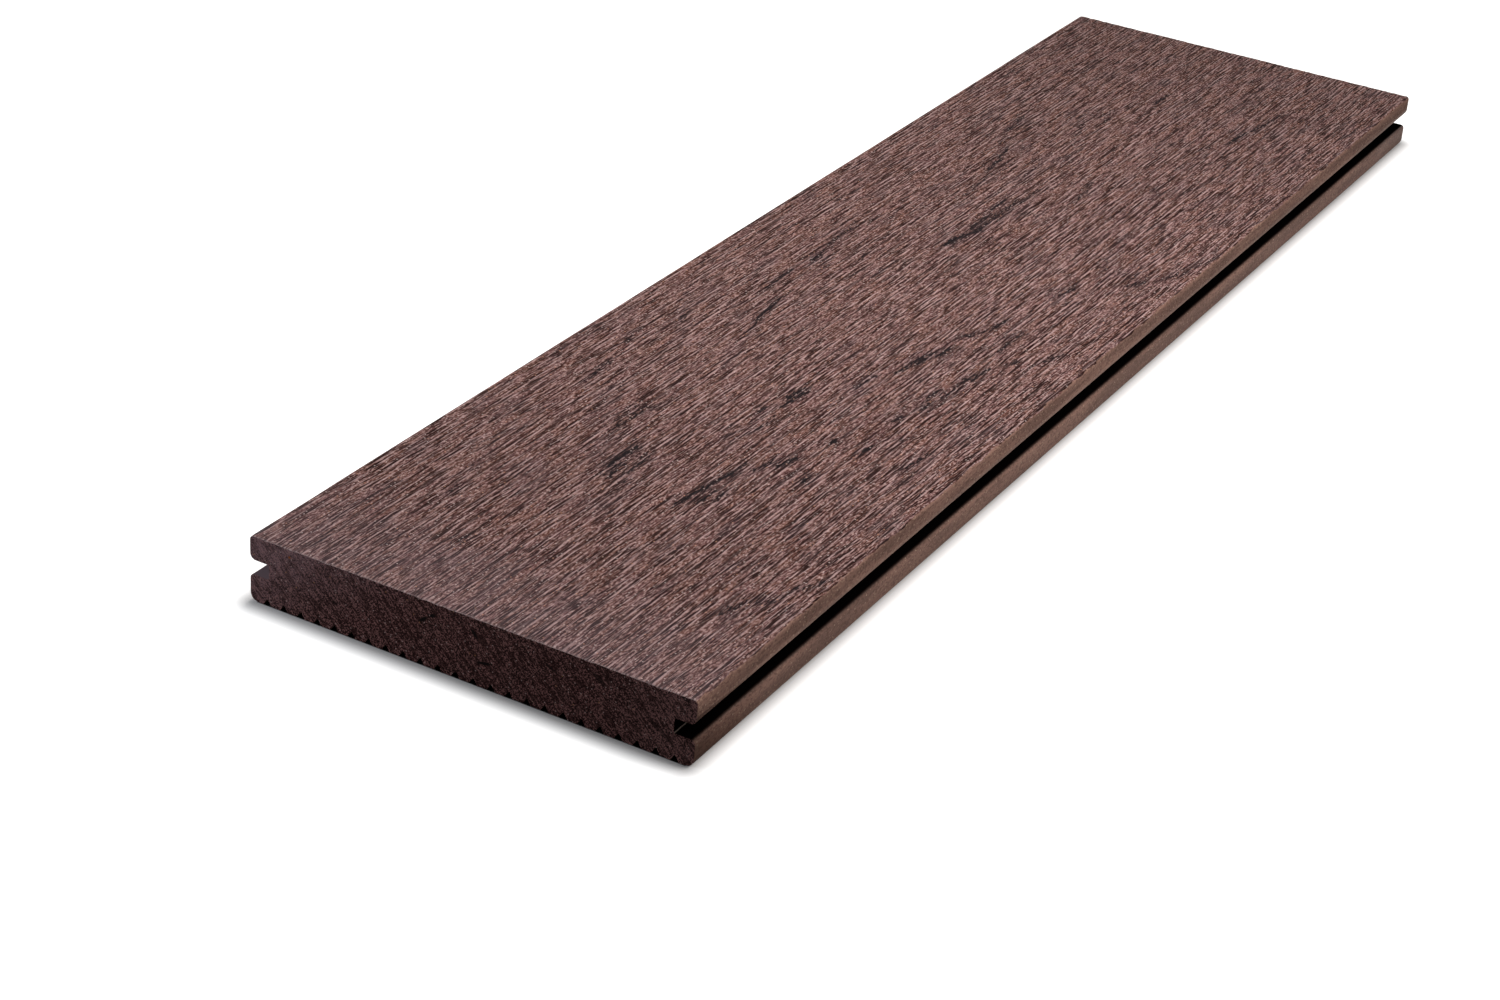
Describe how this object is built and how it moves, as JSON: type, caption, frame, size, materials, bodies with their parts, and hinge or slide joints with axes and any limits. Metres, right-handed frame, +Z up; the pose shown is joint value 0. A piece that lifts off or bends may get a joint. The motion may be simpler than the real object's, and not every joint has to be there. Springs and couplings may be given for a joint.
{
  "type": "decking board",
  "caption": "Short length of solid wood-plastic composite decking board with a brushed-grain top face, a clip groove along each long side and a V-grooved underside.",
  "frame": {"origin": "middle of the underside", "axes": "+X along the board's length, +Y across it, +Z up out of the brushed top face"},
  "size_m": [0.535, 0.14, 0.02],
  "materials": {
    "composite": "matte"
  },
  "bodies": {
    "root": {"decking_board": "composite"}
  },
  "joints": []
}
